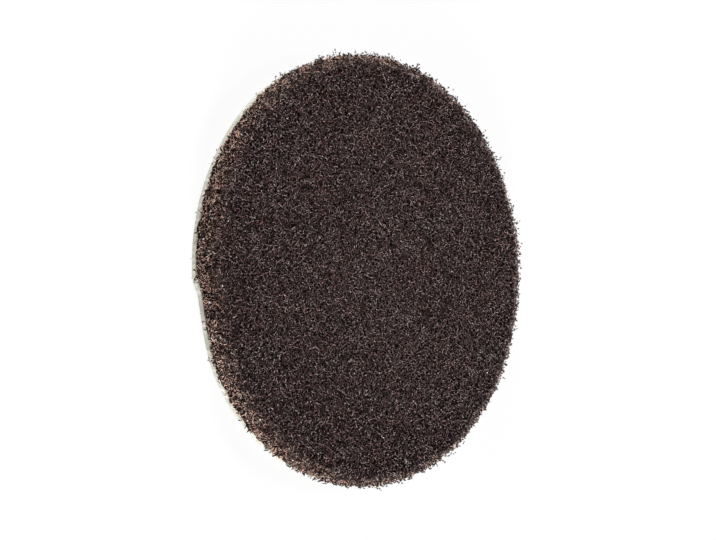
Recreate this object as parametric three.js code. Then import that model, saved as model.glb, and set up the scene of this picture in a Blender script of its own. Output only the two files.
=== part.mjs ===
// Abrasive fleece disc with a loop backing, lying on the backing.
// Millimetres, +Z up, origin at the middle of the underside.

import * as THREE from 'three';

// Driving dimensions
const discDiameter = 125;
const fleeceThickness = 8.5;
const backingThickness = 2;
const shoulderRadius = 2.5;
const backingEdgeRadius = 0.5;

// The cut round the rim doesn't close on itself: it steps in, then runs back out to the full circle.
// Angles are in degrees from +X.
const cutStepDepth = 1.8;
const cutStepStart = -90;
const cutStepArc = 6;
const cutReturnArc = 27;

// Fineness of the round shapes
const rimSegments = 120;
const shoulderSegments = 4;
const backingEdgeSegments = 2;

const discRadius = discDiameter / 2;
const bondHeight = backingThickness;
const workingFaceHeight = backingThickness + fleeceThickness;

// How far the outline lies inside the full circle at an angle in degrees from +X
function cutInset(angle) {
  const pastStart = angle - cutStepStart;
  const stepIn = THREE.MathUtils.smoothstep(pastStart, 0, cutStepArc);
  const runOut = THREE.MathUtils.smoothstep(pastStart, cutStepArc, cutStepArc + cutReturnArc);
  return cutStepDepth * (stepIn - runOut);
}

// Points of a quarter round about a centre in the section, from one angle in degrees to another
function quarterRound(centreRadius, centreHeight, radius, fromAngle, toAngle, segments) {
  const points = [];
  for (let i = 0; i <= segments; i += 1) {
    const angle = THREE.MathUtils.degToRad(THREE.MathUtils.lerp(fromAngle, toAngle, i / segments));
    points.push(new THREE.Vector2(
      centreRadius + radius * Math.cos(angle),
      centreHeight + radius * Math.sin(angle),
    ));
  }
  return points;
}

// Turns a section round the disc's axis, then trims every ring to the cut outline
function cutDisc(section) {
  const geometry = new THREE.LatheGeometry(section, rimSegments, Math.PI);
  geometry.rotateX(Math.PI / 2);
  const position = geometry.getAttribute('position');
  for (let i = 0; i < position.count; i += 1) {
    const x = position.getX(i);
    const y = position.getY(i);
    const angle = THREE.MathUtils.radToDeg(Math.atan2(y, x));
    const trim = 1 - cutInset(angle) / discRadius;
    position.setXY(i, x * trim, y * trim);
  }
  geometry.computeVertexNormals();
  return geometry;
}

// Fleece pad: lofty web of resin-bonded fibres, with a square cut wall and a soft upper shoulder
function fleecePad() {
  const section = [
    new THREE.Vector2(0, bondHeight),
    new THREE.Vector2(discRadius, bondHeight),
    ...quarterRound(
      discRadius - shoulderRadius, workingFaceHeight - shoulderRadius, shoulderRadius,
      0, 90, shoulderSegments,
    ),
    new THREE.Vector2(0, workingFaceHeight),
  ];
  const material = new THREE.MeshStandardMaterial({ color: 0x392d2d, roughness: 0.95, metalness: 0 });
  const mesh = new THREE.Mesh(cutDisc(section), material);
  mesh.name = 'fleece_pad';
  return mesh;
}

// Loop backing: pale knitted fabric bonded under the fleece, whose pile the hooks of a holder grip
function loopBacking() {
  const section = [
    new THREE.Vector2(0, 0),
    ...quarterRound(
      discRadius - backingEdgeRadius, backingEdgeRadius, backingEdgeRadius,
      -90, 0, backingEdgeSegments,
    ),
    new THREE.Vector2(discRadius, bondHeight),
    new THREE.Vector2(0, bondHeight),
  ];
  const material = new THREE.MeshStandardMaterial({ color: 0xbab6a9, roughness: 0.9, metalness: 0 });
  const mesh = new THREE.Mesh(cutDisc(section), material);
  mesh.name = 'loop_backing';
  return mesh;
}

const disc = new THREE.Group();
disc.add(loopBacking());
disc.add(fleecePad());

export default disc;
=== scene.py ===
import math

import bpy
from mathutils import Matrix, Vector, noise


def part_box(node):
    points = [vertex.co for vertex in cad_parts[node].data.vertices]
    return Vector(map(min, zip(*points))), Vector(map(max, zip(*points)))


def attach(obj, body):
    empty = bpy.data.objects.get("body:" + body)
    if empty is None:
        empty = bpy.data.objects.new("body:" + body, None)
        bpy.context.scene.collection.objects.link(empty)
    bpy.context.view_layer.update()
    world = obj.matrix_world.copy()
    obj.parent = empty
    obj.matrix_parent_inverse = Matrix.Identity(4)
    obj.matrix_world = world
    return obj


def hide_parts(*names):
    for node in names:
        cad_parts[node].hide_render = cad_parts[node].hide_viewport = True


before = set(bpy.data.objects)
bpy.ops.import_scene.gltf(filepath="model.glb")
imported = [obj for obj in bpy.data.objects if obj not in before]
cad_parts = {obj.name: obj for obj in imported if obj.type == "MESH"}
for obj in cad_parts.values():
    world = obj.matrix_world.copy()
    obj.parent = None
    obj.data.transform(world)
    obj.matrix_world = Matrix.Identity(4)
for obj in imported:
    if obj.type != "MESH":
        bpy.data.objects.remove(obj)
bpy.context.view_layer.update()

# Cut outline
# Fleece and backing are laid together and cut round in one go. The cut doesn't close on itself:
# near the front it steps in by less than two millimetres, then runs back out to the full circle.
backing_low, backing_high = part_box("loop_backing")
fleece_low, fleece_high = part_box("fleece_pad")
disc_radius = (backing_high.x - backing_low.x) / 2
bond_line = 0.0004
bond_height = backing_high.z + bond_line
face_height = fleece_high.z
cut_step_depth = 0.0018
cut_step_start = math.radians(-90)
cut_step_arc = math.radians(6)
cut_return_arc = math.radians(27)


def smooth_rise(value, start, end):
    """From 0 at start to 1 at end, level at both."""
    share = min(max((value - start) / (end - start), 0.0), 1.0)
    return share * share * (3 - 2 * share)


def cut_share(angle):
    """The outline's radius at an angle, as a share of the full circle's."""
    past = (angle + math.pi) % math.tau - math.pi - cut_step_start
    stepped_in = smooth_rise(past, 0, cut_step_arc)
    back_out = smooth_rise(past, cut_step_arc, cut_step_arc + cut_return_arc)
    return 1 - cut_step_depth * (stepped_in - back_out) / disc_radius


def cut_disc(name, section, segments):
    """A closed disc: a section of (radius, height), from axis to axis, turned and trimmed to the cut."""
    points = []
    rings = []
    for radius, height in section:
        if radius == 0:
            points.append((0, 0, height))
            rings.append([len(points) - 1] * segments)
            continue
        ring = []
        for i in range(segments):
            angle = math.tau * i / segments
            trimmed = radius * cut_share(angle)
            ring.append(len(points))
            points.append((trimmed * math.cos(angle), trimmed * math.sin(angle), height))
        rings.append(ring)
    faces = []
    for below, above in zip(rings, rings[1:]):
        for i in range(segments):
            after = (i + 1) % segments
            corners = [below[i], below[after], above[after], above[i]]
            faces.append(list(dict.fromkeys(corners)))
    mesh = bpy.data.meshes.new(name)
    mesh.from_pydata(points, [], faces)
    mesh.shade_smooth()
    return mesh


def steps(start, end, count):
    """Evenly spaced values from start to end, both included."""
    return [start + (end - start) * i / count for i in range(count + 1)]


def quarter_round(radius, height, size, first, last, count):
    """Section points of a quarter round about (radius, height)."""
    return [
        (radius + size * math.cos(math.radians(a)), height + size * math.sin(math.radians(a)))
        for a in steps(first, last, count)
    ]


def show(name, mesh):
    """Puts a mesh into the scene as an object at the origin."""
    piece = bpy.data.objects.new(name, mesh)
    bpy.context.scene.collection.objects.link(piece)
    return piece


# Loop backing
# A pale knitted fabric of polyamide yarn, bonded to the whole back of the fleece and cut with it.
# Its cut edge shows as a light band under the fleece.
backing_underside = 0.0004
backing_edge = 0.0004
backing_inset = 0.0002
backing_segments = 288
edge_wave = 0.00016
edge_wave_length = 0.007
fabric_pale = (200, 198, 186)
fabric_grey = (146, 146, 134)


def linear(colour):
    """A colour written as 0 to 255 on screen, as the shader's linear values."""
    values = [c / 255 for c in colour]
    return (*(v / 12.92 if v <= 0.04045 else ((v + 0.055) / 1.055) ** 2.4 for v in values), 1.0)


def socket_of(sockets, key):
    """The socket in use with that name, or the one at that number."""
    if isinstance(key, int):
        return sockets[key]
    return next(s for s in sockets if s.enabled and s.name == key)


def lay(tree, kind, sockets=None, **settings):
    """Adds a node, with a value or a link for each input that is named or numbered."""
    node = tree.nodes.new(kind)
    for setting, value in settings.items():
        setattr(node, setting, value)
    for key, value in (sockets or {}).items():
        socket = socket_of(node.inputs, key)
        if isinstance(value, bpy.types.NodeSocket):
            tree.links.new(value, socket)
        else:
            socket.default_value = value
    return node


def take(tree, kind, output, sockets=None, **settings):
    """Adds a node and gives back one of its outputs."""
    return socket_of(lay(tree, kind, sockets, **settings).outputs, output)


def sum_up(tree, operation, *values):
    """A number worked out by a math node."""
    return take(tree, "ShaderNodeMath", 0, dict(enumerate(values)), operation=operation)


def blend_colours(tree, share, one, other):
    """A colour between two."""
    mix = lay(tree, "ShaderNodeMix", data_type="RGBA")
    for key, value in (("Factor", share), ("A", one), ("B", other)):
        socket = socket_of(mix.inputs, key)
        if isinstance(value, bpy.types.NodeSocket):
            tree.links.new(value, socket)
        else:
            socket.default_value = value
    return socket_of(mix.outputs, "Result")


def new_finish(name):
    """A material with a bare Principled shader: its tree and the shader."""
    finish = bpy.data.materials.new(name)
    finish.use_nodes = True
    shader = next(n for n in finish.node_tree.nodes if n.type == "BSDF_PRINCIPLED")
    return finish, finish.node_tree, shader


def flecks_group():
    """Uneven dye and dust: a mask of soft flecks at two scales over any coordinates."""
    group = bpy.data.node_groups.new("uneven_flecks", "ShaderNodeTree")
    group.interface.new_socket("Vector", in_out="INPUT", socket_type="NodeSocketVector")
    for name, value in (("Coarse", 100.0), ("Fine", 1000.0), ("Contrast", 1.0)):
        socket = group.interface.new_socket(name, in_out="INPUT", socket_type="NodeSocketFloat")
        socket.default_value = value
    group.interface.new_socket("Mask", in_out="OUTPUT", socket_type="NodeSocketFloat")
    given = lay(group, "NodeGroupInput").outputs
    coarse = take(group, "ShaderNodeTexNoise", "Fac", {
        "Vector": given["Vector"], "Scale": given["Coarse"], "Detail": 2.0, "Roughness": 0.6,
    })
    fine = take(group, "ShaderNodeTexNoise", "Fac", {
        "Vector": given["Vector"], "Scale": given["Fine"], "Detail": 1.0,
    })
    both = sum_up(group, "MULTIPLY_ADD", sum_up(group, "ADD", coarse, fine), 0.5, -0.5)
    mask = sum_up(group, "MULTIPLY_ADD", both, given["Contrast"], 0.5)
    clamped = take(group, "ShaderNodeClamp", 0, {"Value": mask})
    lay(group, "NodeGroupOutput", {"Mask": clamped})
    return group


uneven_flecks = flecks_group()


def loop_fabric():
    """Pale knit: rows of stitches with grey between them, painted shade in the gaps, dull and soft."""
    finish, tree, shader = new_finish("loop_fabric")
    place = take(tree, "ShaderNodeTexCoord", "Object")
    flecks = take(tree, "ShaderNodeGroup", "Mask", {
        "Vector": place, "Coarse": 160.0, "Fine": 1500.0, "Contrast": 2.2,
    }, node_tree=uneven_flecks)
    rows = take(tree, "ShaderNodeTexWave", "Fac", {
        "Vector": place, "Scale": 170.0, "Distortion": 1.2, "Detail": 2.0, "Detail Scale": 3.0,
    }, bands_direction="X")
    courses = take(tree, "ShaderNodeTexWave", "Fac", {
        "Vector": place, "Scale": 210.0, "Distortion": 1.0, "Detail": 1.0,
    }, bands_direction="Y")
    # Grey where the stitch pattern is low: painted shade between the stitches. The flecks are uneven dye.
    stitches_and_gap_shade = sum_up(tree, "MULTIPLY", rows, courses)
    share = sum_up(tree, "MULTIPLY_ADD", stitches_and_gap_shade, 0.45, sum_up(tree, "MULTIPLY", flecks, 0.55))
    colour = blend_colours(tree, share, linear(fabric_grey), linear(fabric_pale))
    tree.links.new(colour, shader.inputs["Base Color"])
    bump = take(tree, "ShaderNodeBump", "Normal", {"Strength": 0.5, "Distance": 0.0002, "Height": share})
    tree.links.new(bump, shader.inputs["Normal"])
    shader.inputs["Roughness"].default_value = 0.9
    return finish


backing_radius = disc_radius - backing_inset
backing_rings = steps(0, backing_radius - backing_edge, 14)
backing_section = [(r, backing_underside) for r in backing_rings[:-1]]
backing_section += quarter_round(
    backing_radius - backing_edge, backing_underside + backing_edge, backing_edge, -90, 0, 3
)
backing_section += [(r, bond_height) for r in reversed(steps(0, backing_radius, 14))]
backing_mesh = cut_disc("loop_backing_sheet", backing_section, backing_segments)
for vertex in backing_mesh.vertices:
    flat = Vector((vertex.co.x, vertex.co.y, 0))
    wave = noise.noise(flat / edge_wave_length)
    vertex.co += flat.normalized() * wave * edge_wave * (flat.length > disc_radius * 0.9)
backing_mesh.materials.append(loop_fabric())
backing = show("loop_backing_sheet", backing_mesh)

# Loop pile
# Rows of small upright yarn loops knitted into the fabric's underside, which the hooks of a holder grip.
# The disc lies on the tips of these loops.
loop_pitch = 0.0027
loop_width = 0.0013
loop_yarn = 0.00016
loop_steps = 5
loop_sides = 3
pile_colour_strips = 64


def new_tree(name, sizes):
    """A geometry tree with named inputs, as its tree and the inputs' sockets."""
    tree = bpy.data.node_groups.new(name, "GeometryNodeTree")
    tree.interface.new_socket("Geometry", in_out="OUTPUT", socket_type="NodeSocketGeometry")
    tree.interface.new_socket("Geometry", in_out="INPUT", socket_type="NodeSocketGeometry")
    for size, kind in sizes.items():
        tree.interface.new_socket(size, in_out="INPUT", socket_type="NodeSocket" + kind)
    return tree, lay(tree, "NodeGroupInput").outputs


def grow(name, mesh, tree, sizes):
    """Runs a tree on a mesh and leaves the result as a plain mesh at the origin."""
    piece = show(name, mesh)
    modifier = piece.modifiers.new(tree.name, "NODES")
    modifier.node_group = tree
    sockets = {item.name: item.identifier for item in tree.interface.items_tree if item.in_out == "INPUT"}
    for size, value in sizes.items():
        modifier[sockets[size]] = value
    grown = piece.evaluated_get(bpy.context.evaluated_depsgraph_get())
    result = bpy.data.meshes.new_from_object(grown)
    result.name = name
    piece.modifiers.remove(modifier)
    piece.data = result
    return piece


def chance(tree, low, high, seed, shift):
    """A random number for each element, the same in every run."""
    return take(tree, "FunctionNodeRandomValue", "Value", {
        "Min": low, "Max": high, "Seed": sum_up(tree, "ADD", seed, float(shift)),
    }, data_type="FLOAT")


def note(tree, geometry, name, value, kind="FLOAT", domain="POINT"):
    """Keeps a value on the geometry under a name."""
    return take(tree, "GeometryNodeStoreNamedAttribute", "Geometry", {
        "Geometry": geometry, "Name": name, "Value": value,
    }, data_type=kind, domain=domain)


def noted(tree, name, kind="FLOAT"):
    """Reads a value that was kept under a name."""
    return take(tree, "GeometryNodeInputNamedAttribute", "Attribute", {"Name": name}, data_type=kind)


def triple(tree, x, y, z):
    """A vector from three numbers."""
    return take(tree, "ShaderNodeCombineXYZ", "Vector", {"X": x, "Y": y, "Z": z})


def thread(tree, curves, thickness, sides, strips):
    """Round thread along curves, with a colour map of tone across and place along each thread."""
    along = take(tree, "GeometryNodeSplineParameter", "Factor")
    curves = note(tree, curves, "thread_along", along)
    ring = take(tree, "GeometryNodeCurvePrimitiveCircle", "Curve", {
        "Resolution": sides, "Radius": thickness,
    }, mode="RADIUS")
    ring = note(tree, ring, "thread_around", take(tree, "GeometryNodeSplineParameter", "Factor"))
    tube = take(tree, "GeometryNodeCurveToMesh", "Mesh", {
        "Curve": curves, "Profile Curve": ring, "Scale": noted(tree, "thread_swell"), "Fill Caps": True,
    })
    tube = take(tree, "GeometryNodeSetShadeSmooth", "Geometry", {"Geometry": tube})
    inside = sum_up(tree, "MULTIPLY_ADD", noted(tree, "thread_around"), 0.7, 0.15)
    across = sum_up(tree, "DIVIDE", sum_up(tree, "ADD", noted(tree, "thread_strip"), inside), float(strips))
    map_place = triple(tree, across, noted(tree, "thread_along"), 0.0)
    tube = note(tree, tube, "OFBake", map_place, "FLOAT2", "CORNER")
    return take(tree, "GeometryNodeRemoveAttribute", "Geometry", {
        "Geometry": tube, "Name": "thread_*",
    }, pattern_mode="WILDCARD")


def close_tree(tree, geometry, finish):
    """Ends a tree: instances made real, then the finish."""
    real = take(tree, "GeometryNodeRealizeInstances", "Geometry", {"Geometry": geometry})
    done = take(tree, "GeometryNodeSetMaterial", "Geometry", {"Geometry": real, "Material": finish})
    lay(tree, "NodeGroupOutput", {"Geometry": done})


def pile_tree():
    """Yarn loops in rows, each moved a little at random, under a sheet, wherever the sheet is above them.
    """
    tree, given = new_tree("loop_pile", {
        "Across": "Float", "Pitch": "Float", "Loop Width": "Float", "Loop Height": "Float",
        "Yarn": "Float", "Seed": "Int", "Finish": "Material",
    })
    count = sum_up(tree, "FLOOR", sum_up(tree, "DIVIDE", given["Across"], given["Pitch"]))
    grid = take(tree, "GeometryNodeMeshGrid", "Mesh", {
        "Size X": given["Across"], "Size Y": given["Across"], "Vertices X": count, "Vertices Y": count,
    })
    points = take(tree, "GeometryNodeMeshToPoints", "Points", {"Mesh": grid})
    seed = given["Seed"]
    quarter = sum_up(tree, "MULTIPLY", given["Pitch"], 0.25)
    scatter = [
        sum_up(tree, "MULTIPLY", quarter, chance(tree, -1.0, 1.0, seed, shift)) for shift in (1, 2)
    ]
    points = take(tree, "GeometryNodeSetPosition", "Geometry", {
        "Geometry": points, "Offset": triple(tree, *scatter, 0.0),
    })
    above = take(tree, "GeometryNodeRaycast", "Is Hit", {
        "Target Geometry": given["Geometry"], "Ray Direction": (0, 0, 1), "Ray Length": 1.0,
    })
    points = take(tree, "GeometryNodeSeparateGeometry", "Selection", {
        "Geometry": points, "Selection": above,
    })
    strip = sum_up(tree, "FLOOR", chance(tree, 0.0, pile_colour_strips - 0.001, seed, 3))
    points = note(tree, points, "thread_strip", strip)
    points = note(tree, points, "thread_swell", chance(tree, 0.8, 1.2, seed, 4))
    half = sum_up(tree, "MULTIPLY", given["Loop Width"], 0.5)
    left = sum_up(tree, "MULTIPLY", half, -1.0)
    low = sum_up(tree, "SUBTRACT", sum_up(tree, "MULTIPLY", given["Yarn"], 2.4), given["Loop Height"])
    loop = take(tree, "GeometryNodeCurveQuadraticBezier", "Curve", {
        "Resolution": loop_steps,
        "Start": triple(tree, left, 0.0, given["Loop Height"]),
        "Middle": triple(tree, 0.0, half, low),
        "End": triple(tree, half, 0.0, given["Loop Height"]),
    })
    turn = take(tree, "FunctionNodeAxisAngleToRotation", "Rotation", {
        "Axis": (0, 0, 1), "Angle": chance(tree, 0.0, math.tau, seed, 5),
    })
    loops = take(tree, "GeometryNodeInstanceOnPoints", "Instances", {
        "Points": points, "Instance": loop, "Rotation": turn,
    })
    loops = take(tree, "GeometryNodeRealizeInstances", "Geometry", {"Geometry": loops})
    close_tree(tree, thread(tree, loops, given["Yarn"], loop_sides, pile_colour_strips), given["Finish"])
    return tree


def pile_yarn():
    """Pale yarn, a little different from loop to loop and flecked along its length."""
    finish, tree, shader = new_finish("pile_yarn")
    place = take(tree, "ShaderNodeUVMap", "UV", uv_map="OFBake")
    flecks = take(tree, "ShaderNodeGroup", "Mask", {
        "Vector": place, "Coarse": 40.0, "Fine": 90.0, "Contrast": 2.0,
    }, node_tree=uneven_flecks)
    colour = blend_colours(tree, flecks, linear(fabric_grey), linear(fabric_pale))
    tree.links.new(colour, shader.inputs["Base Color"])
    bump = take(tree, "ShaderNodeBump", "Normal", {"Strength": 0.3, "Distance": 0.0001, "Height": flecks})
    tree.links.new(bump, shader.inputs["Normal"])
    shader.inputs["Roughness"].default_value = 0.8
    return finish


pile = grow("loop_pile", backing_mesh.copy(), pile_tree(), {
    "Across": 2 * disc_radius, "Pitch": loop_pitch, "Loop Width": loop_width,
    "Loop Height": backing_underside + loop_yarn, "Yarn": loop_yarn, "Seed": 11, "Finish": pile_yarn(),
})
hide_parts("loop_backing")
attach(backing, "root")
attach(pile, "root")

# Fleece core
# The inside of the web, seen only through the gaps between the outer fibres: the same fibres, packed close,
# with their shade painted into a near-black colour. It is one springy pad, bonded to the backing below.
shoulder_radius = 0.0025
shoulder_lead = 0.0006
core_inset = 0.0003
core_sink = 0.0011
core_segments = 260
core_rings = 40
core_lump = 0.0008
core_lump_size = 0.0016
# Near black for the inside of the web: painted shade of the deep fibres.
core_dark = (10, 3, 3)
core_light = (40, 18, 18)


def fleece_section(inset, sink, rings):
    """The fleece's section: flat below, square wall, round shoulder, flat face."""
    radius = disc_radius - inset
    height = face_height - sink
    corner = shoulder_radius - sink
    section = [(0, bond_height), (radius * 0.5, bond_height)]
    section += [(radius, z) for z in steps(bond_height, height - corner, 6)][:-1]
    section += quarter_round(radius - corner, height - corner, corner, 0, 90, 4)
    section += [(r, height) for r in reversed(steps(0, radius - corner - shoulder_lead, rings))]
    return section


def core_web():
    """Deep fibres with painted shade: thin curly lines of two sizes over near black."""
    finish, tree, shader = new_finish("core_web")
    place = take(tree, "ShaderNodeTexCoord", "Object")
    lines = []
    for scale, width, shift in ((520.0, 0.05, 0.0), (760.0, 0.045, 3.7)):
        moved = take(tree, "ShaderNodeVectorMath", "Vector", {
            0: place, 1: (shift, shift, 0),
        }, operation="ADD")
        field = take(tree, "ShaderNodeTexNoise", "Fac", {"Vector": moved, "Scale": scale, "Detail": 1.0})
        off = sum_up(tree, "ABSOLUTE", sum_up(tree, "SUBTRACT", field, 0.5))
        lines.append(take(tree, "ShaderNodeMapRange", "Result", {
            "Value": off, "From Min": 0.0, "From Max": width, "To Min": 1.0, "To Max": 0.0,
        }))
    strands = sum_up(tree, "MAXIMUM", *lines)
    flecks = take(tree, "ShaderNodeGroup", "Mask", {
        "Vector": place, "Coarse": 90.0, "Fine": 1400.0, "Contrast": 2.0,
    }, node_tree=uneven_flecks)
    share = sum_up(tree, "MULTIPLY", strands, flecks)
    colour = blend_colours(tree, share, linear(core_dark), linear(core_light))
    tree.links.new(colour, shader.inputs["Base Color"])
    bump = take(tree, "ShaderNodeBump", "Normal", {"Strength": 0.8, "Distance": 0.0004, "Height": strands})
    tree.links.new(bump, shader.inputs["Normal"])
    shader.inputs["Roughness"].default_value = 0.85
    shader.inputs["Specular IOR Level"].default_value = 0.1
    return finish


def make_lumpy(mesh, sink, inner_radius):
    """Lumps of the web on a mesh that lies some way below the face, outside a radius (-1 for all of it)."""
    for vertex in mesh.vertices:
        if vertex.co.z > bond_height and vertex.co.xy.length > inner_radius:
            level = (core_sink - sink) * vertex.normal.z
            place = (vertex.co - Vector((0, 0, level))) / core_lump_size
            lump = noise.noise(place) + 0.5 * noise.noise(place * 2.3)
            vertex.co += vertex.normal * lump * core_lump


core_mesh = cut_disc("fleece_core", fleece_section(core_inset, core_sink, core_rings), core_segments)
make_lumpy(core_mesh, core_sink, inner_radius=-1)
core_mesh.materials.append(core_web())
core = show("fleece_core", core_mesh)
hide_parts("fleece_pad")
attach(core, "root")

# Fibre web
# Crimped polyamide fibres, each a tenth or two of a millimetre thick with its coat of brown resin, thrown
# into a lofty web that lies mostly level and is bonded where the fibres cross. They end at the cut rim.
hull_rings = 6
hull_segments = 360
lumpy_shoulder = 0.95
hue_patch_scale = 150.0
wander_scale = 420.0
clump_scale = 560.0
bead_scale = 1700.0
fibre_sides = 3
fibre_hues = 8
fibre_tones = 16
fibre_radius = 0.000088
fibre_dark = (38, 20, 21)
fibre_shaded = ((24, 8, 8), (60, 28, 28))
fibre_light = (73, 41, 42)
fibre_lit_top = (164, 128, 129)
fibre_grit_and_glint = (176, 160, 156)
fibre_greyer = (0.94, 1.04, 1.06)
fibre_redder = (1.08, 0.94, 0.92)


def web_tree():
    """Crimped fibres thrown over part of a hull's surface and trimmed where they leave it."""
    tree, given = new_tree("crimped_fibres", {
        "Apart": "Float", "Least Facing": "Float", "Most Facing": "Float",
        "Length": "Float", "Crimp Radius": "Float", "Crimp Turns": "Float", "Loft": "Float",
        "Stray": "Float", "Lean": "Float", "Least Sunk": "Float", "Most Sunk": "Float", "Fuzz": "Float",
        "Clump": "Float", "Steps": "Int", "Thickness": "Float", "Bead": "Float", "Tone": "Float",
        "Fade": "Float", "Hue": "Float", "Seed": "Int", "Finish": "Material",
    })
    hull, seed = given["Geometry"], given["Seed"]
    normal = take(tree, "GeometryNodeInputNormal", "Normal")
    facing = take(tree, "ShaderNodeSeparateXYZ", "Z", {"Vector": normal})
    chosen = take(tree, "FunctionNodeBooleanMath", "Boolean", {
        0: take(tree, "FunctionNodeCompare", "Result", {"A": facing, "B": given["Least Facing"]},
                data_type="FLOAT", operation="GREATER_EQUAL"),
        1: take(tree, "FunctionNodeCompare", "Result", {"A": facing, "B": given["Most Facing"]},
                data_type="FLOAT", operation="LESS_EQUAL"),
    }, operation="AND")
    crowded = sum_up(tree, "DIVIDE", 4.0, sum_up(tree, "POWER", given["Apart"], 2.0))
    thrown = lay(tree, "GeometryNodeDistributePointsOnFaces", {
        "Mesh": hull, "Selection": chosen, "Distance Min": given["Apart"], "Density Max": crowded,
        "Seed": seed,
    }, distribute_method="POISSON")
    points = thrown.outputs["Points"]
    sunk = chance(tree, given["Least Sunk"], given["Most Sunk"], seed, 1)
    spin = take(tree, "FunctionNodeAxisAngleToRotation", "Rotation", {
        "Axis": (0, 0, 1), "Angle": chance(tree, 0.0, math.tau, seed, 2),
    })
    lean = sum_up(tree, "MULTIPLY", given["Lean"], chance(tree, -1.0, 0.35, seed, 3))
    tilt = take(tree, "FunctionNodeAxisAngleToRotation", "Rotation", {"Axis": (0, 1, 0), "Angle": lean})
    turn = take(tree, "FunctionNodeRotateRotation", "Rotation", {
        "Rotation": thrown.outputs["Rotation"], "Rotate By": spin,
    }, rotation_space="LOCAL")
    turn = take(tree, "FunctionNodeRotateRotation", "Rotation", {
        "Rotation": turn, "Rotate By": tilt,
    }, rotation_space="LOCAL")
    patch = take(tree, "ShaderNodeTexNoise", "Fac", {"Scale": hue_patch_scale, "Detail": 2.0})
    patch = sum_up(tree, "MULTIPLY_ADD", patch, 1.8, -0.9)
    patch = sum_up(tree, "ADD", patch, chance(tree, -0.1, 0.1, seed, 9))
    patch = sum_up(tree, "ADD", given["Hue"], patch)
    patch = take(tree, "ShaderNodeClamp", 0, {"Value": patch, "Min": 0.0, "Max": 0.999})
    upward = take(tree, "ShaderNodeSeparateXYZ", "Z", {"Vector": thrown.outputs["Normal"]})
    # Fibres facing up are made darker than those facing sideways: on the rim, this is painted light on the
    # wall.
    fading = sum_up(tree, "MULTIPLY", given["Fade"], sum_up(tree, "MAXIMUM", upward, 0.0))
    tone = sum_up(tree, "ADD", given["Tone"], chance(tree, -0.45, 0.45, seed, 4))
    tone = sum_up(tree, "SUBTRACT", tone, fading)
    tone = take(tree, "ShaderNodeClamp", 0, {"Value": tone, "Min": 0.0, "Max": 0.999})
    hue_step = sum_up(tree, "FLOOR", sum_up(tree, "MULTIPLY", patch, float(fibre_hues)))
    tone_step = sum_up(tree, "FLOOR", sum_up(tree, "MULTIPLY", tone, float(fibre_tones)))
    strip = sum_up(tree, "MULTIPLY_ADD", hue_step, float(fibre_tones), tone_step)
    points = note(tree, points, "thread_strip", strip)
    points = note(tree, points, "thread_swell", chance(tree, 0.75, 1.3, seed, 5))
    points = note(tree, points, "thread_phase", chance(tree, 0.0, math.tau, seed, 6))
    points = note(tree, points, "thread_crimp", chance(tree, 0.6, 1.4, seed, 7))
    points = note(tree, points, "thread_turn", turn, "QUATERNION")
    into = take(tree, "ShaderNodeVectorMath", "Vector", {
        0: thrown.outputs["Normal"], "Scale": sum_up(tree, "MULTIPLY", sunk, -1.0),
    }, operation="SCALE")
    points = take(tree, "GeometryNodeSetPosition", "Geometry", {"Geometry": points, "Offset": into})

    half = sum_up(tree, "MULTIPLY", given["Length"], 0.5)
    straight = take(tree, "GeometryNodeCurvePrimitiveLine", "Curve", {
        "Start": triple(tree, sum_up(tree, "MULTIPLY", half, -1.0), 0.0, 0.0),
        "End": triple(tree, half, 0.0, 0.0),
    })
    straight = take(tree, "GeometryNodeResampleCurve", "Curve", {
        "Curve": straight, "Count": sum_up(tree, "ADD", given["Steps"], 1.0),
    })
    fibres = take(tree, "GeometryNodeInstanceOnPoints", "Instances", {
        "Points": points, "Instance": straight, "Rotation": turn,
        "Scale": triple(tree, chance(tree, 0.7, 1.3, seed, 8), 1.0, 1.0),
    })
    fibres = take(tree, "GeometryNodeRealizeInstances", "Geometry", {"Geometry": fibres})

    phase, crimp = noted(tree, "thread_phase"), noted(tree, "thread_crimp")
    along = take(tree, "GeometryNodeSplineParameter", "Factor")
    turns = sum_up(tree, "MULTIPLY", sum_up(tree, "MULTIPLY", given["Crimp Turns"], crimp), math.tau)
    angle = sum_up(tree, "MULTIPLY_ADD", along, turns, phase)
    radius = sum_up(tree, "DIVIDE", given["Crimp Radius"], crimp)
    slow = sum_up(tree, "MULTIPLY_ADD", angle, 0.63, sum_up(tree, "MULTIPLY", phase, 2.7))
    curl = triple(
        tree,
        sum_up(tree, "MULTIPLY", radius, sum_up(tree, "COSINE", angle)),
        sum_up(tree, "MULTIPLY", radius, sum_up(tree, "SINE", angle)),
        sum_up(tree, "MULTIPLY", given["Loft"], sum_up(tree, "SINE", slow)),
    )
    curl = take(tree, "FunctionNodeRotateVector", "Vector", {
        "Vector": curl, "Rotation": noted(tree, "thread_turn", "QUATERNION"),
    })
    wander = take(tree, "ShaderNodeTexNoise", "Color", {
        "W": phase, "Scale": wander_scale, "Detail": 1.0,
    }, noise_dimensions="4D")
    wander = take(tree, "ShaderNodeVectorMath", "Vector", {
        0: wander, 1: (0.5, 0.5, 0.5),
    }, operation="SUBTRACT")
    wander = take(tree, "ShaderNodeVectorMath", "Vector", {
        0: wander, "Scale": given["Stray"],
    }, operation="SCALE")
    offset = take(tree, "ShaderNodeVectorMath", "Vector", {0: curl, 1: wander}, operation="ADD")
    fibres = take(tree, "GeometryNodeSetPosition", "Geometry", {"Geometry": fibres, "Offset": offset})

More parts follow.
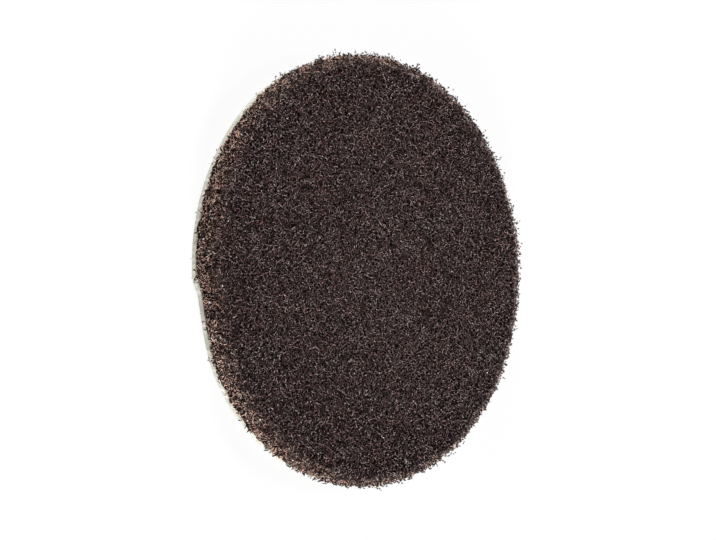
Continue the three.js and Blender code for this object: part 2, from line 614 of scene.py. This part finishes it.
    place = take(tree, "GeometryNodeInputPosition", "Position")
    nearest = take(tree, "GeometryNodeProximity", "Position", {"Geometry": hull}, target_element="FACES")
    outward = take(tree, "GeometryNodeSampleNearestSurface", "Value", {
        "Mesh": hull, "Value": normal,
    }, data_type="FLOAT_VECTOR")
    away = take(tree, "ShaderNodeVectorMath", "Vector", {0: place, 1: nearest}, operation="SUBTRACT")
    outside = take(tree, "ShaderNodeVectorMath", "Value", {0: away, 1: outward}, operation="DOT_PRODUCT")
    clump = take(tree, "ShaderNodeTexNoise", "Fac", {"Scale": clump_scale, "Detail": 1.0})
    between_clumps = sum_up(tree, "SUBTRACT", 1.0, given["Clump"])
    clump = take(tree, "ShaderNodeMapRange", "Result", {
        "Value": clump, "From Min": 0.35, "From Max": 0.65, "To Min": between_clumps,
    })
    longest = sum_up(tree, "MULTIPLY", given["Fuzz"], clump)
    reach = sum_up(tree, "MULTIPLY", longest, sum_up(tree, "DIVIDE", phase, math.tau))
    trimmed = take(tree, "FunctionNodeCompare", "Result", {"A": outside, "B": reach},
                   data_type="FLOAT", operation="GREATER_THAN")
    fibres = take(tree, "GeometryNodeDeleteGeometry", "Geometry", {
        "Geometry": fibres, "Selection": trimmed,
    }, domain="POINT")
    kept = take(tree, "GeometryNodeSplineLength", "Point Count")
    short = take(tree, "FunctionNodeCompare", "Result", {"A": kept, "B": 2.0},
                 data_type="FLOAT", operation="LESS_THAN")
    fibres = take(tree, "GeometryNodeDeleteGeometry", "Geometry", {
        "Geometry": fibres, "Selection": short,
    }, domain="CURVE")
    bead = take(tree, "ShaderNodeTexNoise", "Fac", {"Scale": bead_scale, "Detail": 0.0})
    bead = take(tree, "ShaderNodeMapRange", "Result", {
        "Value": bead, "From Min": 0.48, "From Max": 0.68, "To Min": 1.0, "To Max": given["Bead"],
    })
    fibres = note(tree, fibres, "thread_swell", sum_up(tree, "MULTIPLY", noted(tree, "thread_swell"), bead))
    strips = fibre_hues * fibre_tones
    close_tree(tree, thread(tree, fibres, given["Thickness"], fibre_sides, strips), given["Finish"])
    return tree


def resin_fibre(name, dark, light, coat, shine, grit_and_glint_share):
    """Brown resin over fibre: tone from fibre to fibre, and along each one pale specks of grit and dull and
    bright stretches, both partly painted glints.
    """
    finish, tree, shader = new_finish(name)
    place = take(tree, "ShaderNodeUVMap", "UV", uv_map="OFBake")
    across = take(tree, "ShaderNodeSeparateXYZ", "X", {"Vector": place})
    hue_steps = sum_up(tree, "MULTIPLY", across, float(fibre_hues))
    hue = sum_up(tree, "DIVIDE", sum_up(tree, "FLOOR", hue_steps), fibre_hues - 1.0)
    tone = sum_up(tree, "FRACT", hue_steps)
    brown = blend_colours(tree, tone, linear(dark), linear(light))
    tint = blend_colours(tree, hue, (*fibre_greyer, 1), (*fibre_redder, 1))
    brown = take(tree, "ShaderNodeVectorMath", "Vector", {0: brown, 1: tint}, operation="MULTIPLY")
    stretched = take(tree, "ShaderNodeMapping", "Vector", {"Vector": place, "Scale": (60.0, 5.0, 1.0)})
    flecks = take(tree, "ShaderNodeGroup", "Mask", {
        "Vector": stretched, "Coarse": 0.6, "Fine": 2.4, "Contrast": 3.2,
    }, node_tree=uneven_flecks)
    # Dull and bright stretches along each fibre: partly uneven resin, partly painted glints.
    dull_and_glint = take(tree, "ShaderNodeMapRange", "Result", {
        "Value": flecks, "From Min": 0.0, "From Max": 1.0, "To Min": 0.25, "To Max": 1.7,
    })
    brown = take(tree, "ShaderNodeVectorMath", "Vector", {0: brown, "Scale": dull_and_glint}, operation="SCALE")
    # Pale, glossier specks: partly grit, partly painted glints.
    speckled = take(tree, "ShaderNodeMapping", "Vector", {"Vector": place, "Scale": (90.0, 26.0, 1.0)})
    grit_and_glint = take(tree, "ShaderNodeTexNoise", "Fac", {"Vector": speckled, "Scale": 1.0, "Detail": 1.0})
    grit_and_glint = take(tree, "ShaderNodeMapRange", "Result", {"Value": grit_and_glint, "From Min": 0.58, "From Max": 0.7})
    colour = blend_colours(tree, sum_up(tree, "MULTIPLY", grit_and_glint, grit_and_glint_share), brown, linear(fibre_grit_and_glint))
    tree.links.new(colour, shader.inputs["Base Color"])
    gloss = take(tree, "ShaderNodeMapRange", "Result", {
        "Value": grit_and_glint, "From Min": 0.0, "From Max": 1.0, "To Min": 0.55, "To Max": 0.25,
    })
    tree.links.new(gloss, shader.inputs["Roughness"])
    bump = take(tree, "ShaderNodeBump", "Normal", {"Strength": 0.4, "Distance": 0.0001, "Height": flecks})
    tree.links.new(bump, shader.inputs["Normal"])
    shader.inputs["Specular IOR Level"].default_value = shine
    shader.inputs["Coat Weight"].default_value = coat
    shader.inputs["Coat Roughness"].default_value = 0.2
    return finish


hull_mesh = cut_disc("fleece_hull", fleece_section(0.0, 0.0, hull_rings), hull_segments)
make_lumpy(hull_mesh, 0, disc_radius - shoulder_radius * lumpy_shoulder)
fibre_tree = web_tree()
outer_finish = resin_fibre("resin_fibre", fibre_dark, fibre_light, coat=0.3, shine=0.2, grit_and_glint_share=0.5)
# A darker copy of the fibre colour for the deep and middle layers and the loose ends: painted shade.
shaded_finish = resin_fibre("shaded_dull_fibre", *fibre_shaded, coat=0.0, shine=0.1, grit_and_glint_share=0.1)
# A lighter copy of the fibre colour for the top layer: painted light on the lit top fibres.
lit_top_finish = resin_fibre("lit_top_fibre", fibre_dark, fibre_lit_top, coat=0.7, shine=0.5, grit_and_glint_share=0.7)
web_sizes = {
    "Least Facing": 0.8, "Most Facing": 1.0, "Length": 0.003, "Crimp Radius": 0.0005, "Crimp Turns": 0.9,
    "Loft": 0.0004, "Stray": 0.0012, "Lean": math.radians(22), "Fuzz": 0.0007, "Clump": 0.0, "Steps": 8,
    "Thickness": fibre_radius, "Bead": 1.6, "Fade": 0.0, "Hue": 0.45, "Finish": outer_finish,
}
nap_sizes = {
    **web_sizes, "Least Facing": 0.5, "Apart": 0.00058, "Length": 0.00065, "Crimp Radius": 0.0002,
    "Crimp Turns": 0.4, "Steps": 1, "Stray": 0.0006, "Lean": math.radians(40), "Fuzz": 0.01,
    "Thickness": fibre_radius * 0.55,
}
webs = [
    grow("web_deep", hull_mesh.copy(), fibre_tree, {
        **web_sizes, "Least Facing": 0.1, "Apart": 0.0028, "Length": 0.0055, "Crimp Radius": 0.0008,
        "Crimp Turns": 1.2, "Steps": 10, "Least Sunk": 0.0006, "Most Sunk": 0.0013,
        "Thickness": fibre_radius * 1.3, "Tone": 0.3, "Seed": 21, "Finish": shaded_finish,
    }),
    grow("web_middle", hull_mesh.copy(), fibre_tree, {
        **web_sizes, "Least Facing": 0.1, "Apart": 0.0021, "Least Sunk": 0.0004, "Most Sunk": 0.0009,
        "Thickness": fibre_radius * 1.1, "Tone": 0.5, "Seed": 22, "Finish": shaded_finish,
    }),
    grow("web_face", hull_mesh.copy(), fibre_tree, {
        **web_sizes, "Apart": 0.0013, "Length": 0.0018, "Crimp Radius": 0.00036, "Crimp Turns": 0.7,
        "Steps": 4, "Lean": math.radians(30), "Least Sunk": 0.0002, "Most Sunk": 0.0006,
        "Thickness": fibre_radius * 0.75, "Tone": 0.25, "Seed": 23,
    }),
    grow("web_nap", hull_mesh.copy(), fibre_tree, {
        **nap_sizes, "Least Sunk": 0.0001, "Most Sunk": 0.0005, "Tone": 0.1, "Seed": 24,
    }),
    grow("web_top", hull_mesh.copy(), fibre_tree, {
        **nap_sizes, "Apart": 0.0006, "Least Sunk": -0.0001, "Most Sunk": 0.0003, "Tone": 0.5, "Seed": 25,
        "Finish": lit_top_finish,
    }),
]
top_web = webs[-1]

# Rim fibres
# The die cuts square through the web, so the wall shows short cut fibres, from which the cut has taken some
# of the dark resin; their pale colour, lightest on the wall and fading toward the face, is partly that and
# partly painted light.
# Loose ends and thinner stray ends, painted dark with the shaded fibre colour, stand out of the wall and
# the shoulder.
# Pale end of the rim colour: partly the cut fibres' own colour, partly painted light on the wall.
rim_light = (236, 198, 180)
rim_finish = resin_fibre("cut_and_lit_fibre", fibre_dark, rim_light, coat=0.5, shine=0.5, grit_and_glint_share=0.6)
rim_sizes = {
    **web_sizes, "Least Facing": -0.3, "Most Facing": 0.98, "Tone": 0.92, "Fade": 0.62, "Hue": 0.5,
    "Finish": rim_finish,
}
rim = grow("web_rim", hull_mesh.copy(), fibre_tree, {
    **rim_sizes, "Apart": 0.00039, "Length": 0.00065, "Crimp Radius": 0.0002, "Crimp Turns": 0.5,
    "Steps": 1, "Lean": math.radians(35), "Least Sunk": -0.0002, "Most Sunk": 0.0003, "Fuzz": 0.0015,
    "Thickness": fibre_radius * 0.7, "Seed": 31,
})
# The loose and stray ends take the dark end of the shaded copy: painted shade, so they show dark against
# the white.
ends = grow("loose_ends", hull_mesh.copy(), fibre_tree, {
    **rim_sizes, "Most Facing": 0.93, "Apart": 0.0008, "Length": 0.0012, "Steps": 3, "Crimp Radius": 0.0003,
    "Crimp Turns": 1.1, "Lean": math.radians(85), "Least Sunk": -0.0005, "Most Sunk": 0.0002,
    "Fuzz": 0.0050, "Clump": 1.0, "Thickness": fibre_radius * 1.15, "Bead": 2.2, "Tone": 0.0, "Seed": 41,
    "Finish": shaded_finish,
})
strays = grow("stray_ends", hull_mesh.copy(), fibre_tree, {
    **rim_sizes, "Least Facing": 0.1, "Most Facing": 0.93, "Apart": 0.0007, "Length": 0.0034,
    "Steps": 4, "Crimp Radius": 0.0004, "Crimp Turns": 0.8, "Lean": math.radians(85),
    "Least Sunk": -0.0009, "Most Sunk": 0.0002,
    "Fuzz": 0.0050, "Clump": 0.9, "Thickness": fibre_radius * 0.22, "Bead": 1.0, "Tone": 0.0, "Seed": 42,
    "Finish": shaded_finish,
})
webs += [rim, ends, strays]

# Abrasive grain
# Small hard crystals, stuck to the top fibres by the resin coat, and dark beads of the resin itself, which
# has run together on the stray ends. Both sit on the fibres at random.
grain_size = 0.0001
grains_per_square_metre = 8500 / 0.005
# Pale end of the crystals' colour: partly their own colour, partly painted glint.
grain_browns_and_glint = ((130, 112, 110), (240, 232, 228))
bead_size = 0.00022
beads_per_square_metre = 13000 / 0.001
bead_browns = ((20, 10, 9), (66, 42, 36))
grain_colour_strips = 64.0


def grain_tree():
    """Eight-sided crystals stuck here and there on fibres."""
    tree, given = new_tree("abrasive_grain", {
        "Density": "Float", "Size": "Float", "Seed": "Int", "Finish": "Material",
    })
    seed = given["Seed"]
    stuck = lay(tree, "GeometryNodeDistributePointsOnFaces", {
        "Mesh": given["Geometry"], "Density": given["Density"], "Seed": seed,
    }, distribute_method="RANDOM")
    strip = sum_up(tree, "FLOOR", chance(tree, 0.0, grain_colour_strips - 0.001, seed, 1))
    points = note(tree, stuck.outputs["Points"], "thread_strip", strip)
    crystal = lay(tree, "GeometryNodeMeshUVSphere", {"Segments": 4, "Rings": 2, "Radius": given["Size"]})
    shape, facet_map = crystal.outputs["Mesh"], crystal.outputs["UV Map"]
    shape = note(tree, shape, "thread_map", facet_map, "FLOAT_VECTOR", "CORNER")
    size = triple(tree, *(chance(tree, 0.5, 1.8, seed, shift) for shift in (2, 3, 4)))
    turn = take(tree, "FunctionNodeAxisAngleToRotation", "Rotation", {
        "Axis": triple(tree, *(chance(tree, -1.0, 1.0, seed, shift) for shift in (5, 6, 7))),
        "Angle": chance(tree, 0.0, math.tau, seed, 8),
    })
    grains = take(tree, "GeometryNodeInstanceOnPoints", "Instances", {
        "Points": points, "Instance": shape, "Rotation": turn, "Scale": size,
    })
    grains = take(tree, "GeometryNodeRealizeInstances", "Geometry", {"Geometry": grains})
    grains = take(tree, "GeometryNodeSetShadeSmooth", "Geometry", {
        "Geometry": grains, "Shade Smooth": False,
    })
    local = lay(tree, "ShaderNodeSeparateXYZ", {"Vector": noted(tree, "thread_map", "FLOAT_VECTOR")})
    inside = sum_up(tree, "MULTIPLY_ADD", local.outputs["X"], 0.7, 0.15)
    strip_place = sum_up(tree, "ADD", noted(tree, "thread_strip"), inside)
    across = sum_up(tree, "DIVIDE", strip_place, grain_colour_strips)
    map_place = triple(tree, across, local.outputs["Y"], 0.0)
    grains = note(tree, grains, "OFBake", map_place, "FLOAT2", "CORNER")
    grains = take(tree, "GeometryNodeRemoveAttribute", "Geometry", {
        "Geometry": grains, "Name": "thread_*",
    }, pattern_mode="WILDCARD")
    close_tree(tree, grains, given["Finish"])
    return tree


def grain_finish(name, browns, shine):
    """Crystal in resin: from dark to pale, with flat glossy facets."""
    finish, tree, shader = new_finish(name)
    place = take(tree, "ShaderNodeUVMap", "UV", uv_map="OFBake")
    flecks = take(tree, "ShaderNodeGroup", "Mask", {
        "Vector": place, "Coarse": 60.0, "Fine": 200.0, "Contrast": 3.0,
    }, node_tree=uneven_flecks)
    colour = blend_colours(tree, flecks, *(linear(c) for c in browns))
    tree.links.new(colour, shader.inputs["Base Color"])
    gloss = sum_up(tree, "MULTIPLY_ADD", flecks, -0.2, 0.35)
    tree.links.new(gloss, shader.inputs["Roughness"])
    shader.inputs["IOR"].default_value = 1.76
    shader.inputs["Specular IOR Level"].default_value = shine
    return finish


stuck_grain = grain_tree()
grain = grow("abrasive_grain", top_web.data.copy(), stuck_grain, {
    "Density": grains_per_square_metre, "Size": grain_size, "Seed": 51,
    "Finish": grain_finish("abrasive_grain", grain_browns_and_glint, shine=0.5),
})
beads = grow("resin_beads", strays.data.copy(), stuck_grain, {
    "Density": beads_per_square_metre, "Size": bead_size, "Seed": 52,
    "Finish": grain_finish("resin_bead", bead_browns, shine=0.2),
})
for piece in [*webs, grain, beads]:
    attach(piece, "root")

# Floor and light
# A white floor, a low lamp on either side, a weaker one behind, and an even white room that is dim for all
# but the camera.
floor_reach = 0.6
floor_white = 0.93
shadow_kept = 0.1
room_light = 0.13
lamps = (
    ("low_lamp", Vector((0.8, -0.22, 0.22)), 0.25, 14.5),
    ("high_lamp", Vector((-0.75, -0.26, 0.25)), 0.2, 9.5),
    ("back_lamp", Vector((0.0, 0.6, 0.6)), 0.15, 3.0),
)


def seen_directly(tree):
    """1 for what the camera sees straight."""
    return take(tree, "ShaderNodeLightPath", "Is Camera Ray")


def white_floor():
    """White card: mostly lit by itself so that it stays white, with part of the shadow kept."""
    finish, tree, shader = new_finish("white_floor")
    shader.inputs["Base Color"].default_value = (floor_white, floor_white, floor_white, 1)
    shader.inputs["Roughness"].default_value = 1.0
    shader.inputs["Specular IOR Level"].default_value = 0.0
    glow = take(tree, "ShaderNodeEmission", "Emission", {"Strength": 1.0})
    share = sum_up(tree, "MULTIPLY", seen_directly(tree), 1 - shadow_kept)
    mixed = take(tree, "ShaderNodeMixShader", "Shader", {0: share, 1: shader.outputs["BSDF"], 2: glow})
    out = next(n for n in tree.nodes if n.type == "OUTPUT_MATERIAL")
    tree.links.new(mixed, out.inputs["Surface"])
    return finish


floor_mesh = bpy.data.meshes.new("floor")
floor_corners = [(x * floor_reach, y * floor_reach, 0) for x, y in ((-1, -1), (1, -1), (1, 1), (-1, 1))]
floor_mesh.from_pydata(floor_corners, [], [(0, 1, 2, 3)])
floor_mesh.materials.append(white_floor())
floor = show("floor", floor_mesh)

room = bpy.data.worlds.new("white_room")
bpy.context.scene.world = room
room.use_nodes = True
background = next(n for n in room.node_tree.nodes if n.type == "BACKGROUND")
strength = sum_up(room.node_tree, "MULTIPLY_ADD", seen_directly(room.node_tree), 1 - room_light, room_light)
background.inputs["Color"].default_value = (1, 1, 1, 1)
room.node_tree.links.new(strength, background.inputs["Strength"])

for name, place, size, power in lamps:
    lamp_data = bpy.data.lights.new(name, "AREA")
    lamp_data.energy = power
    lamp_data.size = size
    lamp = bpy.data.objects.new(name, lamp_data)
    lamp.location = place
    lamp.rotation_mode = "QUATERNION"
    lamp.rotation_quaternion = (-place).to_track_quat("-Z", "Y")
    bpy.context.scene.collection.objects.link(lamp)

# Camera
# It looks down on the lying disc and is turned a quarter, so that the near rim is on the left of the
# picture, as if the disc stood on edge.
picture_width = 716
sensor_width = 36.0
view_distance = 0.9
view_tilt = math.radians(44.2)
view_roll = math.radians(1.9)
pixels_per_metre = 3410
aim_right = -0.0013
aim_up = 0.0001
toward = Vector((0, -math.sin(view_tilt), math.cos(view_tilt)))
right = Vector((0, math.cos(view_tilt), math.sin(view_tilt)))
up = Vector((-1, 0, 0))
turned = Matrix.Rotation(-view_roll, 3, toward)
right, up = turned @ right, turned @ up
aim = Vector((0, 0, face_height / 2)) + right * aim_right + up * aim_up
camera_data = bpy.data.cameras.new("camera")
camera_data.sensor_width = sensor_width
camera_data.lens = pixels_per_metre * view_distance * sensor_width / picture_width
camera = bpy.data.objects.new("camera", camera_data)
camera_turn = Matrix((right, up, toward)).transposed().to_4x4()
camera.matrix_world = Matrix.Translation(aim + toward * view_distance) @ camera_turn
bpy.context.scene.collection.objects.link(camera)
bpy.context.scene.camera = camera
bpy.context.scene.view_settings.view_transform = "Standard"
